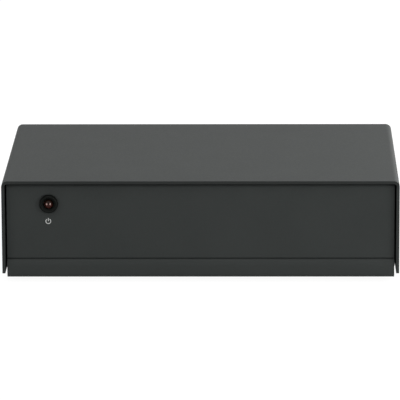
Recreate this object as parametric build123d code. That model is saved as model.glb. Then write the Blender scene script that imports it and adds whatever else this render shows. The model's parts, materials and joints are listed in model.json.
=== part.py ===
from build123d import *
import math
import os

# A phono preamp in a small steel case. A U-shaped cover (top and sides) is screwed over a
# U-shaped chassis (low front wall, floor and rear panel). The front panel is recessed inside
# the cover's edges and spot-welded to the chassis's front wall, which steps forward under it
# into a rounded lip. The circuit board inside carries the phono jacks and the power jack,
# which show through the rear panel beside a ground terminal.
#
# Millimetres. +X to the right as seen from the front, +Y to the rear, +Z up. The origin is on
# the surface that the feet stand on, at the middle of the overall outline.

# ---- Case ----
case_width = 133.4
case_depth = 88.9
case_height = 33.5  # underside of the chassis to the top of the cover
sheet = 1.0  # steel sheet
cover_bend = 2.0  # outside radius of the cover's two bends
cover_lift = 1.7  # the cover's sides end this far above the chassis's underside
side_gap = 0.6  # panel edge to cover side
top_gap = 0.3  # return flange to the underside of the cover's top
front_recess = 1.8  # front panel behind the cover's front edge
rear_recess = 1.8
panel_bend = 1.5  # outside radius where a panel turns into its return flange
floor_bend = 2.0  # outside radius where a panel turns into the floor
return_depth = 7.0  # return flange along the top of the front and rear panels
front_foot = 6.65  # height of the front panel's lower edge
front_wall_height = 14.0  # top of the wall behind the front panel, which it is welded to
lip_step = 1.0  # how far the lip stands forward of the front panel
ledge_height = 6.43  # ledge under the front panel's lower edge, at the wall
ledge_fall = 0.05  # how much lower the ledge is at its front
ledge_reach = 0.35  # how far the ledge goes beyond the panel's outer face
ledge_hollow = 0.2  # radius of the tight bend from the wall to the ledge
lip_edge = 4.6  # height where the slope from the ledge meets the lip's upright face
lip_shoulder = 3.0  # outside radius there
lip_foot = 1.6  # outside radius where the lip turns into the floor

# ---- Side flanges, which the cover is screwed to ----
flange_height = 10.5
flange_setback = 11.0  # from the cover's front and rear edges
flange_gap = 0.1  # to the cover's side
relief_width = 1.0
relief_depth = 2.4
cover_screw_height = 6.0  # above the chassis's underside
cover_screw_inset = 22.0  # from the cover's front and rear edges
collar_length = 1.0  # the formed collar that lengthens a flange's threaded hole
collar_wall = 0.8

# ---- Feet ----
foot_radius = 4.5
foot_height = 1.8
foot_inset_x = 12.0
foot_inset_y = 14.0
foot_taper = 0.4  # how much less the foot's radius is where it stands

# ---- Screws ----
thread_clearance = 0.05
cover_screw_radius = 1.5
cover_head_radius = 2.75
cover_screw_length = 6.0
board_screw_radius = 1.5
board_head_radius = 2.8
board_head_height = 1.8
board_screw_length = 5.0
jack_screw_radius = 1.45
jack_head_radius = 2.6
jack_head_height = 1.7
jack_screw_length = 8.0

# ---- Indicator lamp ----
lamp_inset = 15.8  # from the case's left side
lamp_drop = 8.1  # below the cover's top
lamp_radius = 1.5
lamp_skirt_radius = 1.9
lamp_skirt_length = 1.0
lamp_body_length = 3.45
lamp_clearance = 0.05
holder_rim_radius = 3.15
holder_rim_height = 1.4
holder_mouth_radius = 2.45
holder_mouth_depth = 0.9
holder_barrel_radius = 2.5
holder_barrel_length = 4.2  # behind the panel's outer face
lock_ring_radius = 3.5
lock_ring_length = 2.6
lead_spacing = 2.54
lead_run = 3.0  # from the lamp back to the bend

# ---- Board ----
board_thickness = 1.6
board_side_gap = 1.7  # to the ends of the cover screws
board_front_gap = 4.0  # to the front panel's inner face
board_rear_gap = 1.0
standoff_height = 5.0
standoff_flats = 5.0
standoff_thread_depth = 4.0
standoff_inset_x = 8.5  # from the board's ends
standoff_inset_front = 17.0  # from the board's front edge
standoff_inset_rear = 24.0
solder_reach = 1.5  # leads below the board
board_hole_room = 0.2  # around what passes through the board

# ---- Phono jacks ----
jack_pitch = 14.0  # left to right barrel in a pair
jack_axis_height = 7.0  # above the board
barrel_radius = 4.15
barrel_wall = 0.55
barrel_neck_step = 0.25  # how much less the barrel's radius is inside the panel
barrel_reach = 9.0  # beyond the rear panel
barrel_pocket = 2.6  # depth of the barrel's seat in the housing
barrel_hole_gap = 0.35  # around the barrel in the panel
insulator_setback = 0.8
socket_radius = 1.65
socket_wall = 0.4
socket_setback = 1.0  # contact's rim behind the insulator's face
socket_start = 0.3  # contact's sleeve starts this far beyond the panel's outer face
contact_depth = 5.5  # room for the plug's pin, in front of the panel's inner face
contact_bend = 0.4
tail_thickness = 0.5
contact_tail_width = 1.2
barrel_tail_width = 2.0
tail_clearance = 0.05
housing_side = 6.0  # beyond each barrel's axis
housing_depth = 10.0
housing_above_axis = 6.4
housing_chamfer = 0.8
jack_screw_rise = 3.6  # above the barrels' axis

# ---- Power jack ----
power_width = 9.0
power_depth = 14.0
power_height = 11.0
power_axis_height = 6.5
power_bore_radius = 3.15
power_bore_depth = 9.5
power_shoulder = 2.0  # radius of the body's upper edges
power_front_wall = 1.0
power_pin_radius = 1.0
power_pin_root_radius = 1.3
power_pin_setback = 1.3
power_pin_chamfer = 0.4
power_hole_radius = 4.0
power_slot_width = 2.8
spring_thickness = 0.35
spring_width = 2.5
spring_touch = 2.75  # the plug's radius, where the spring bears on it
spring_inset = 1.0  # tail to the bore's end
spring_rise = 0.9
spring_crest = 3.6  # from the panel's inner face
spring_end = 1.6
spring_bends = [0.8, 1.2]
power_tail_width = 2.0
power_tail_thickness = 0.6

# ---- Ground terminal ----
stud_radius = 2.0
stud_head_radius = 3.5
stud_head_height = 2.4
stud_free_end = 2.0
stud_hole_gap = 0.15
lug_radius = 4.0
lug_thickness = 0.5
lug_tail_width = 3.0
lug_bend = 0.8
lug_reach = 4.0
lug_rise = 2.0  # height above the board where the lug bends inward
nut_flats = 7.0
nut_height = 3.0
washer_radius = 4.5
washer_thickness = 0.8
washer_clearance = 0.08
thumb_radius = 5.0
thumb_collar_radius = 3.7
thumb_collar_length = 1.4
thumb_height = 6.0
thumb_chamfer = 0.5
thumb_clearance = 0.05
terminal_gap = 0.1  # between the terminal's moving pieces

# ---- Board components, in rows from the front to the rear ----
field_side_gap = 20.0  # middle of a row's last piece to the board's end
field_front_gap = 14.0  # middle of the first row to the board's front edge
field_rear_gap = 4.0  # middle of the last row to the power jack
lead_width = 0.5  # square leads

chip_length = 9.6
chip_width = 6.4
chip_height = 3.3
chip_standoff = 0.6
chip_pitch = 2.54
chip_row_width = 7.62

film_size = (7.2, 3.5, 7.5)
film_count = 6
film_chamfer = 0.4

small_can = (3.15, 11.0)  # radius, height
small_can_count = 4
large_can = (5.0, 16.0)
can_rim = 0.5

resistor_radius = 1.15
resistor_length = 6.4
resistor_pitch = 10.16  # between its two leads
resistor_lift = 0.3
resistor_count = 4  # in each of two rows

regulator_radius = 2.4
regulator_flat = 1.0  # from the axis to the flat face
regulator_height = 4.8
regulator_lift = 3.0
regulator_lead_pitch = 1.27

diode_radius = 1.35
diode_length = 5.0
diode_pitch = 10.16


def spread(count, low, high):
    """Places spaced evenly from low to high, both ends included."""
    step = (high - low) / (count - 1)
    return [low + i * step for i in range(count)]


# ---- Heights and edges worked out from the values above ----
half_width = case_width / 2
floor_z = foot_height
floor_top = floor_z + sheet
top_z = floor_z + case_height
panel_top = top_z - sheet - top_gap
panel_half_width = half_width - sheet - side_gap
stud_reach = nut_height + washer_thickness + thumb_height + 2 * terminal_gap + stud_free_end
rear_reach = max(stud_reach, barrel_reach) - rear_recess  # beyond the cover's rear edge
front_y = -(case_depth + rear_reach) / 2
back_y = front_y + case_depth
panel_y = front_y + front_recess  # front panel's outer face
lip_y = panel_y - lip_step
rear_y = back_y - rear_recess  # rear panel's outer face
rear_inner_y = rear_y - sheet
board_bottom = floor_top + standoff_height
board_top = board_bottom + board_thickness
board_front_y = panel_y + sheet + board_front_gap
board_rear_y = rear_inner_y - board_rear_gap
solder_z = board_bottom - solder_reach
jack_z = board_top + jack_axis_height
power_z = board_top + power_axis_height
lamp_x = -half_width + lamp_inset
lamp_z = top_z - lamp_drop
lamp_lead_y = panel_y + holder_barrel_length + lead_run
lamp_lead_columns = [lamp_x - lead_spacing / 2, lamp_x + lead_spacing / 2]
pair_offsets = (-jack_pitch / 2, jack_pitch / 2)
barrel_neck_radius = barrel_radius - barrel_neck_step
socket_outer = socket_radius + socket_wall
socket_room = math.hypot(socket_outer, contact_tail_width / 2) + tail_clearance

# What shows at the rear stands in a row across the board's width, with equal gaps.
board_width = 2 * (half_width - cover_screw_length - board_side_gap)
housing_width = jack_pitch + 2 * housing_side
rear_widths = [housing_width, 2 * thumb_radius, housing_width, power_width]
rear_gap = (board_width - sum(rear_widths)) / (len(rear_widths) + 1)
rear_middles = []
rear_edge = -board_width / 2
for rear_width in rear_widths:
    rear_middles.append(rear_edge + rear_gap + rear_width / 2)
    rear_edge += rear_gap + rear_width
input_pair_x, ground_x, output_pair_x, power_x = rear_middles

# Component rows: two of resistors, one of film capacitors, one with the op-amp, the regulator
# and the large can, and one with the small cans and the diode.
field_half_width = board_width / 2 - field_side_gap
resistor_y, second_resistor_y, film_y, chip_y, can_y = spread(
    5, board_front_y + field_front_gap, rear_inner_y - power_depth - field_rear_gap
)
chip_x, regulator_x, large_can_x = spread(3, -field_half_width, field_half_width)
*small_can_columns, diode_x = spread(small_can_count + 1, -field_half_width, field_half_width)


# ---- Helpers ----
def lathe(*outline):
    """A turned piece: an outline of (radius, height) points, revolved about +Z."""
    return revolve(Plane.XZ * make_face(Polyline(*outline, close=True)), Axis.Z)


def bent_strip(plane, points, radii, thickness, width, side=Side.RIGHT):
    """A strip bent along an outline, made thicker to one side, centred across the plane."""
    path = FilletPolyline(*points, radius=radii)
    face = make_face(offset(path, amount=thickness, side=side))
    return extrude(plane * face, amount=width / 2, both=True)


def side_view(x):
    """The plane across the case at X, with its own X to the rear and Y up."""
    return Plane(origin=(x, 0, 0), x_dir=(0, 1, 0), z_dir=(1, 0, 0))


def box_between(low, high):
    """A box given by its lowest and highest corners."""
    size = [b - a for a, b in zip(low, high)]
    middle = [(a + b) / 2 for a, b in zip(low, high)]
    return Pos(*middle) * Box(*size)


def rearward(x, y, z):
    """A place whose own +Z points to the rear."""
    return Location((x, y, z), (-90, 0, 0))


def forward(x, y, z):
    """A place whose own +Z points to the front."""
    return Location((x, y, z), (90, 0, 0))


def tube(outer, inner, low, high):
    return lathe((inner, low), (outer, low), (outer, high), (inner, high))


def rod(radius, low, high):
    return lathe((0, low), (radius, low), (radius, high), (0, high))


def square_wire(*points):
    """A square lead along straight runs, mitred where it turns."""
    path = Polyline(*points)
    start = Plane(origin=points[0], z_dir=path % 0)
    return sweep(start * Rectangle(lead_width, lead_width), path=path, transition=Transition.RIGHT)


def pan_screw(radius, length, head_radius, head_height):
    """A pan-head screw: its head stands on the plane Z = 0 and its shank hangs below."""
    crown_radius = head_radius - head_height / 3
    return lathe(
        (0, -length),
        (radius, -length),
        (radius, 0),
        (head_radius, 0),
        (crown_radius, head_height),
        (0, head_height),
    )


def countersunk_screw(grow=0.0):
    """The cover's screw, flush with the plane Z = 0. It is also the cutter for its hole."""
    cone_depth = cover_head_radius - cover_screw_radius
    return lathe(
        (0, -cover_screw_length - grow),
        (cover_screw_radius + grow, -cover_screw_length - grow),
        (cover_screw_radius + grow, -cone_depth),
        (cover_head_radius + grow, 0),
        (0, 0),
    )


def cover_screw_places():
    """Where the four cover screws sit, each with its own +Z pointing out of the case."""
    z = floor_z + cover_screw_height
    places = []
    for side in (-1, 1):
        for y in (front_y + cover_screw_inset, back_y - cover_screw_inset):
            places.append(Location((side * half_width, y, z), (0, side * 90, 0)))
    return places


def jack_places():
    """Names and X of the four phono jacks."""
    left, right = pair_offsets
    return {
        "input_left": input_pair_x + left,
        "input_right": input_pair_x + right,
        "output_left": output_pair_x + left,
        "output_right": output_pair_x + right,
    }


def standoff_places():
    x = board_width / 2 - standoff_inset_x
    front = board_front_y + standoff_inset_front
    rear = board_rear_y - standoff_inset_rear
    return [(sx * x, y) for y in (front, rear) for sx in (-1, 1)]


# ---- Case ----
def make_top_cover():
    low = floor_z + cover_lift
    points = [(-half_width, low), (-half_width, top_z), (half_width, top_z), (half_width, low)]
    plane = Plane(origin=(0, (front_y + back_y) / 2, 0), x_dir=(1, 0, 0), z_dir=(0, -1, 0))
    cover = bent_strip(plane, points, cover_bend, sheet, case_depth)
    for place in cover_screw_places():
        cover -= place * countersunk_screw(thread_clearance)
    return cover


def make_front_panel():
    """The panel and its return flange, with the hole for the lamp holder."""
    points = [
        (panel_y + return_depth, panel_top),
        (panel_y, panel_top),
        (panel_y, floor_z + front_foot),
    ]
    panel = bent_strip(side_view(0), points, panel_bend, sheet, 2 * panel_half_width, Side.LEFT)
    return panel - forward(lamp_x, panel_y, lamp_z) * panel_hole(holder_barrel_radius + lamp_clearance)


def chassis_profile():
    """Front wall with its ledge and lip, floor and rear panel, as one bent outline."""
    points = [
        (panel_y + sheet, floor_z + front_wall_height),
        (panel_y + sheet, floor_z + ledge_height),
        (panel_y - ledge_reach, floor_z + ledge_height - ledge_fall),
        (lip_y, floor_z + lip_edge),
        (lip_y, floor_z),
        (rear_y, floor_z),
        (rear_y, panel_top),
        (rear_y - return_depth, panel_top),
    ]
    radii = [ledge_hollow, ledge_hollow + sheet, lip_shoulder, lip_foot, floor_bend, panel_bend]
    return points, radii


def side_flange(side):
    """One side flange, bent up from the floor, with reliefs at its ends."""
    low = front_y + flange_setback
    high = back_y - flange_setback
    face_x = half_width - sheet - flange_gap
    start_x = panel_half_width - 2 * floor_bend
    points = [(start_x, floor_z), (face_x, floor_z), (face_x, floor_z + flange_height)]
    plane = Plane(origin=(0, (low + high) / 2, 0), x_dir=(side, 0, 0), z_dir=(0, -side, 0))
    return bent_strip(plane, points, floor_bend, sheet, high - low, Side.LEFT)


def flange_reliefs():
    """Notches beside each flange's ends, which let it bend without tearing the floor."""
    cuts = []
    for side in (-1, 1):
        for y in (front_y + flange_setback, back_y - flange_setback):
            outward = -1 if y < (front_y + back_y) / 2 else 1
            edge = side * (panel_half_width + relief_depth / 2 - relief_depth + 0.5)
            size = (relief_depth + 1.0, relief_width, 3 * sheet)
            cuts.append(Pos(edge, y + outward * relief_width / 2, floor_z + sheet / 2) * Box(*size))
    return cuts


def chassis_holes():
    """The cutters for the rear panel's holes."""
    holes = []
    for x in jack_places().values():
        holes.append(rearward(x, rear_y, jack_z) * panel_hole(barrel_radius + barrel_hole_gap))
    for x in (input_pair_x, output_pair_x):
        hole = panel_hole(jack_screw_radius + thread_clearance)
        holes.append(rearward(x, rear_y, jack_z + jack_screw_rise) * hole)
    holes.append(rearward(power_x, rear_y, power_z) * panel_hole(power_hole_radius))
    holes.append(rearward(ground_x, rear_y, jack_z) * panel_hole(stud_radius + stud_hole_gap))
    return holes


def panel_hole(radius):
    """A cutter that passes through a panel whose outer face is the plane Z = 0."""
    return rod(radius, -2 * sheet, sheet)


def make_chassis():
    points, radii = chassis_profile()
    chassis = bent_strip(side_view(0), points, radii, sheet, 2 * panel_half_width, Side.LEFT)
    for cut in flange_reliefs():
        chassis -= cut
    for side in (-1, 1):
        chassis += side_flange(side)
    collar_start = -sheet - flange_gap - sheet
    for place in cover_screw_places():
        collar_radius = cover_screw_radius + collar_wall
        chassis += place * rod(collar_radius, collar_start - collar_length, collar_start + sheet / 2)
        chassis -= place * countersunk_screw(thread_clearance)
    for hole in chassis_holes():
        chassis -= hole
    return chassis


def make_cover_screws():
    return [place * countersunk_screw() for place in cover_screw_places()]


def make_feet():
    foot = lathe((0, 0), (foot_radius - foot_taper, 0), (foot_radius, foot_height), (0, foot_height))
    feet = []
    for sx in (-1, 1):
        x = sx * (half_width - foot_inset_x)
        for y in (front_y + foot_inset_y, back_y - foot_inset_y):
            feet.append(Pos(x, y, 0) * foot)
    return feet


# ---- Indicator lamp ----
def make_lamp_holder():
    bore = lamp_radius + lamp_clearance
    seat = -holder_barrel_length + lamp_skirt_length
    holder = lathe(
        (bore, holder_rim_height - holder_mouth_depth),
        (bore, seat),
        (lamp_skirt_radius + lamp_clearance, seat),
        (lamp_skirt_radius + lamp_clearance, -holder_barrel_length),
        (holder_barrel_radius, -holder_barrel_length),
        (holder_barrel_radius, 0),
        (holder_rim_radius, 0),
        (holder_rim_radius, holder_rim_height * 0.55),
        (holder_rim_radius - 0.35, holder_rim_height),
        (holder_mouth_radius, holder_rim_height),
    )
    return forward(lamp_x, panel_y, lamp_z) * holder


def make_lamp_lock_ring():
    ring = tube(lock_ring_radius, holder_barrel_radius, -sheet - lock_ring_length, -sheet)
    return forward(lamp_x, panel_y, lamp_z) * ring


def make_lamp():
    skirt_back = -holder_barrel_length
    skirt_front = skirt_back + lamp_skirt_length
    body_front = skirt_front + lamp_body_length
    body = rod(lamp_radius, skirt_back, body_front) + rod(lamp_skirt_radius, skirt_back, skirt_front)
    dome = Pos(0, 0, body_front) * Sphere(lamp_radius)
    return forward(lamp_x, panel_y, lamp_z) * (body + dome)


def make_lamp_leads():
    """Two leads that run straight back and turn down through the board."""
    start = panel_y + holder_barrel_length
    leads = []
    for x in lamp_lead_columns:
        leads.append(square_wire((x, start, lamp_z), (x, lamp_lead_y, lamp_z), (x, lamp_lead_y, solder_z)))
    return leads


# ---- Board ----
def wire_holes():
    """Where single leads pass through the board."""
    holes = [(x, lamp_lead_y) for x in lamp_lead_columns]
    holes += chip_lead_places() + regulator_lead_places()
    for x, y in resistor_places():
        holes += [(x - resistor_pitch / 2, y), (x + resistor_pitch / 2, y)]
    return holes + [(diode_x - diode_pitch / 2, can_y), (diode_x + diode_pitch / 2, can_y)]


def tail_slots():
    """The board's slots for flat solder tails, as (X, Y, width, thickness)."""
    slots = []
    for x in jack_places().values():
        contact_y = rear_inner_y - contact_depth - socket_wall / 2
        slots.append((x, contact_y, contact_tail_width, socket_wall))
        shell_y = rear_inner_y - barrel_pocket + tail_thickness / 2
        slots.append((x, shell_y, barrel_tail_width, tail_thickness))
    pin_y = rear_inner_y - power_depth - power_tail_thickness / 2
    slots.append((power_x, pin_y, power_tail_width, power_tail_thickness))
    slots.append((power_x, spring_tail_y(), spring_width, spring_thickness))
    lug_y = rear_inner_y - lug_reach - lug_thickness / 2
    slots.append((ground_x, lug_y, lug_tail_width, lug_thickness))
    return slots


def make_circuit_board():
    half = board_width / 2
    board = box_between((-half, board_front_y, board_bottom), (half, board_rear_y, board_top))
    deep = 3 * board_thickness
    cuts = []
    for x, y in standoff_places():
        cuts.append(Pos(x, y, board_bottom) * Cylinder(board_screw_radius + board_hole_room, deep))
    slots = [(x, y, lead_width, lead_width) for x, y in wire_holes()] + tail_slots()
    for x, y, width, thickness in slots:
        size = (width + 2 * board_hole_room, thickness + 2 * board_hole_room, deep)
        cuts.append(Pos(x, y, board_bottom) * Box(*size))
    return board - cuts


def make_standoffs():
    """Hexagonal posts, pressed into the floor from inside, with blind threaded holes."""
    post = extrude(RegularPolygon(standoff_flats / 2, 6, major_radius=False), standoff_height)
    hole_low = standoff_height - standoff_thread_depth
    post -= rod(board_screw_radius + thread_clearance, hole_low, standoff_height + sheet)
    return [Pos(x, y, floor_top) * post for x, y in standoff_places()]


def make_board_screws():
    screw = pan_screw(board_screw_radius, board_screw_length, board_head_radius, board_head_height)
    return [Pos(x, y, board_top) * screw for x, y in standoff_places()]


# ---- Phono jacks: each is built with its own +Z to the rear, from the panel's inner face ----
def downward_tail(x, y_low, y_high, width, z_high):
    """A flat solder tail that runs straight down from z_high through the board."""
    return box_between((x - width / 2, y_low, solder_z), (x + width / 2, y_high, z_high))


def make_jack_shell(x):
    end = sheet + barrel_reach
    inner = barrel_radius - barrel_wall
    shell = rearward(x, rear_inner_y, jack_z) * lathe(
        (inner, -barrel_pocket),
        (barrel_neck_radius, -barrel_pocket),
        (barrel_neck_radius, sheet),
        (barrel_radius, sheet),
        (barrel_radius, end),
        (inner, end),
    )
    low = rear_inner_y - barrel_pocket
    joint_z = jack_z - (inner + barrel_neck_radius) / 2
    return shell + downward_tail(x, low, low + tail_thickness, barrel_tail_width, joint_z)


def make_jack_insulator(x):
    end = sheet + barrel_reach - insulator_setback
    sleeve = tube(barrel_radius - barrel_wall, socket_room, -barrel_pocket, end)
    return rearward(x, rear_inner_y, jack_z) * sleeve


def make_jack_contact(x):
    """A rolled sleeve that takes the plug's pin, on a strip bent down through the board."""
    low = sheet + socket_start
    high = sheet + barrel_reach - insulator_setback - socket_setback
    sleeve = rearward(x, rear_inner_y, jack_z) * tube(socket_outer, socket_radius, low, high)
    points = [
        (rear_inner_y + low + socket_wall, jack_z - socket_outer),
        (rear_inner_y - contact_depth, jack_z - socket_outer),
        (rear_inner_y - contact_depth, solder_z),
    ]
    return sleeve + bent_strip(side_view(x), points, contact_bend, socket_wall, contact_tail_width)


def make_jack_housing(pair_x):
    half = housing_width / 2
    low_y = rear_inner_y - housing_depth
    top = jack_z + housing_above_axis
    housing = box_between((pair_x - half, low_y, board_top), (pair_x + half, rear_inner_y, top))
    crown = housing.edges().filter_by(Axis.X).group_by(Axis.Z)[-1]
    housing = chamfer(crown, housing_chamfer)
    for offset_x in pair_offsets:
        x = pair_x + offset_x
        place = rearward(x, rear_inner_y, jack_z)
        housing -= place * rod(barrel_neck_radius, -barrel_pocket, sheet)
        housing -= place * rod(socket_room, -contact_depth, sheet)
        shell_y = rear_inner_y - barrel_pocket
        contact_y = rear_inner_y - contact_depth - socket_wall
        housing -= tail_slot(x, shell_y, barrel_tail_width, tail_thickness, jack_z - barrel_neck_radius / 2)
        housing -= tail_slot(x, contact_y, contact_tail_width, socket_wall, jack_z)
    pilot = rod(jack_screw_radius + thread_clearance, -jack_screw_length, sheet)
    return housing - rearward(pair_x, rear_inner_y, jack_z + jack_screw_rise) * pilot


def tail_slot(x, y, width, thickness, z_high):
    """The cutter for a flat tail's slot in a housing; Y is the tail's front face."""
    room = tail_clearance
    low = (x - width / 2 - room, y - room, board_top - sheet)
    high = (x + width / 2 + room, y + thickness + room, z_high)
    return box_between(low, high)


def make_jack_screws():
    screw = pan_screw(jack_screw_radius, jack_screw_length, jack_head_radius, jack_head_height)
    z = jack_z + jack_screw_rise
    return [rearward(x, rear_y, z) * screw for x in (input_pair_x, output_pair_x)]


# ---- Power jack ----
def spring_tail_y():
    return rear_inner_y - power_bore_depth + spring_inset + spring_thickness / 2


def make_power_jack_body():
    half = power_width / 2
    low = (power_x - half, rear_inner_y - power_depth, board_top)
    high = (power_x + half, rear_inner_y, board_top + power_height)
    body = box_between(low, high)
    body = fillet(body.edges().filter_by(Axis.Y).group_by(Axis.Z)[-1], power_shoulder)
    place = rearward(power_x, rear_inner_y, power_z)
    body -= place * rod(power_bore_radius, -power_bore_depth, sheet)
    body -= place * rod(power_pin_root_radius, -power_depth - sheet, 0)
    slot = power_slot_width / 2
    slot_low = (power_x - slot, rear_inner_y - power_bore_depth, board_top - sheet)
    slot_high = (power_x + slot, rear_inner_y - power_front_wall, power_z)
    return body - box_between(slot_low, slot_high)


def make_power_jack_pin():
    tip = -power_pin_setback
    pin = rearward(power_x, rear_inner_y, power_z) * lathe(
        (0, -power_depth - power_tail_thickness),
        (power_pin_root_radius, -power_depth - power_tail_thickness),
        (power_pin_root_radius, -power_bore_depth),
        (power_pin_radius, -power_bore_depth),
        (power_pin_radius, tip - power_pin_chamfer),
        (power_pin_radius - power_pin_chamfer, tip),
        (0, tip),
    )
    low = rear_inner_y - power_depth - power_tail_thickness
    return pin + downward_tail(power_x, low, low + power_tail_thickness, power_tail_width, power_z)


def make_power_jack_spring():
    """The leaf that presses on the plug's sleeve from below."""
    tail_y = spring_tail_y() - spring_thickness / 2
    crest_z = power_z - spring_touch
    points = [
        (tail_y, solder_z),
        (tail_y, crest_z - spring_rise),
        (rear_inner_y - spring_crest, crest_z),
        (rear_inner_y - spring_end, crest_z - spring_rise),
    ]
    return bent_strip(side_view(power_x), points, spring_bends, spring_thickness, spring_width)


# ---- Ground terminal ----
def terminal(turned):
    return rearward(ground_x, rear_inner_y, jack_z) * turned


def make_ground_stud():
    head_seat = -lug_thickness
    end = sheet + stud_reach
    stud = lathe(
        (0, head_seat - stud_head_height),
        (stud_head_radius - 0.4, head_seat - stud_head_height),
        (stud_head_radius, head_seat - stud_head_height + 0.4),
        (stud_head_radius, head_seat),
        (stud_radius, head_seat),
        (stud_radius, end - 0.5),
        (stud_radius - 0.5, end),
        (0, end),
    )
    return terminal(stud)


def make_ground_lug():
    """A solder lug: an eye under the stud's head and a tail bent down to the board."""
    eye = terminal(tube(lug_radius, stud_radius + thread_clearance, -lug_thickness, 0))
    points = [
        (rear_inner_y, jack_z - (stud_radius + lug_radius) / 2),
        (rear_inner_y, board_top + lug_rise),
        (rear_inner_y - lug_reach, board_top + lug_rise),
        (rear_inner_y - lug_reach, solder_z),
    ]
    return eye + bent_strip(side_view(ground_x), points, lug_bend, lug_thickness, lug_tail_width)


def make_ground_nut():
    hexagon = extrude(RegularPolygon(nut_flats / 2, 6, major_radius=False), nut_height)
    corner = nut_flats / math.sqrt(3)
    crown = lathe(
        (0, 0),
        (corner, 0),
        (corner, nut_height - 0.4),
        (nut_flats / 2, nut_height),
        (0, nut_height),
    )
    nut = hexagon & crown
    nut -= rod(stud_radius + thread_clearance, -sheet, nut_height + sheet)
    return terminal(Pos(0, 0, sheet) * nut)


def make_ground_washer():
    low = sheet + nut_height + terminal_gap
    return terminal(tube(washer_radius, stud_radius + washer_clearance, low, low + washer_thickness))


def make_ground_thumb_nut():
    low = sheet + nut_height + washer_thickness + 2 * terminal_gap
    bore = stud_radius + thumb_clearance
    nut = lathe(
        (bore, 0),
        (thumb_collar_radius, 0),
        (thumb_collar_radius, thumb_collar_length),
        (thumb_radius - thumb_chamfer, thumb_collar_length),
        (thumb_radius, thumb_collar_length + thumb_chamfer),
        (thumb_radius, thumb_height - thumb_chamfer),
        (thumb_radius - thumb_chamfer, thumb_height),
        (bore, thumb_height),
    )
    return terminal(Pos(0, 0, low) * nut)


# ---- Components on the board ----
def chip_lead_places():
    rows = (chip_y - chip_row_width / 2, chip_y + chip_row_width / 2)
    return [(chip_x + (i - 1.5) * chip_pitch, y) for y in rows for i in range(4)]


def make_op_amp():
    low = board_top + chip_standoff
    body = Pos(chip_x, chip_y, low + chip_height / 2) * Box(chip_length, chip_width, chip_height)
    body = chamfer(body.edges().filter_by(Axis.Z, reverse=True).group_by(Axis.Z)[-1], 0.3)
    return body - Pos(chip_x - chip_length / 2, chip_y, low + chip_height) * Cylinder(0.8, 1.0)


def make_op_amp_leads():
    shoulder = board_top + chip_standoff + chip_height / 2
    leads = []
    for x, y in chip_lead_places():
        start = chip_y + math.copysign(chip_width / 2, y - chip_y)
        leads.append(square_wire((x, start, shoulder), (x, y, shoulder), (x, y, solder_z)))
    return leads


def make_film_capacitors():
    length, width, height = film_size
    capacitors = []
    for x in spread(film_count, -field_half_width, field_half_width):
        box = Pos(x, film_y, board_top + height / 2) * Box(length, width, height)
        capacitors.append(chamfer(box.edges().filter_by(Axis.Z), film_chamfer))
    return capacitors


def electrolytic_can(x, y, radius, height):
    can = lathe((0, 0), (radius, 0), (radius, height - can_rim), (radius - can_rim, height), (0, height))
    return Pos(x, y, board_top) * can


def make_electrolytic_capacitors():
    cans = [electrolytic_can(x, can_y, *small_can) for x in small_can_columns]
    return cans + [electrolytic_can(large_can_x, chip_y, *large_can)]


def axial_leads(x, y, z, body_length, pitch):
    """Two leads that leave an axial body's ends and turn down through the board."""
    leads = []
    for side in (-1, 1):
        start = x + side * body_length / 2
        turn = x + side * pitch / 2
        leads.append(square_wire((start, y, z), (turn, y, z), (turn, y, solder_z)))
    return leads


def resistor_places():
    columns = spread(resistor_count, -field_half_width, field_half_width)
    return [(x, y) for y in (resistor_y, second_resistor_y) for x in columns]


def make_resistors():
    body = rod(resistor_radius, -resistor_length / 2, resistor_length / 2)
    z = board_top + resistor_lift + resistor_radius
    return [Location((x, y, z), (0, 90, 0)) * body for x, y in resistor_places()]


def make_resistor_leads():
    z = board_top + resistor_lift + resistor_radius
    leads = []
    for x, y in resistor_places():
        leads += axial_leads(x, y, z, resistor_length, resistor_pitch)
    return leads


def make_diode():
    z = board_top + resistor_lift + diode_radius
    return Location((diode_x, can_y, z), (0, 90, 0)) * rod(diode_radius, -diode_length / 2, diode_length / 2)


def make_diode_leads():
    z = board_top + resistor_lift + diode_radius
    return axial_leads(diode_x, can_y, z, diode_length, diode_pitch)


def regulator_lead_places():
    return [(regulator_x + i * 2 * regulator_lead_pitch, chip_y) for i in (-1, 0, 1)]


def make_regulator():
    width = 2 * regulator_radius
    outline = Circle(regulator_radius) - Pos(0, -regulator_radius - regulator_flat) * Rectangle(width, width)
    return Pos(regulator_x, chip_y, board_top + regulator_lift) * extrude(outline, regulator_height)


def make_regulator_leads():
    """Three leads under the body; the outer two spread to the board's hole spacing."""
    top = board_top + regulator_lift
    knee = top - regulator_lift / 3
    splay = board_top + regulator_lift / 3
    x, y = regulator_x, chip_y
    leads = [square_wire((x, y, top), (x, y, solder_z))]
    for side in (-1, 1):
        start = x + side * regulator_lead_pitch
        end = x + side * 2 * regulator_lead_pitch
        leads.append(square_wire((start, y, top), (start, y, knee), (end, y, splay), (end, y, solder_z)))
    return leads


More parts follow.
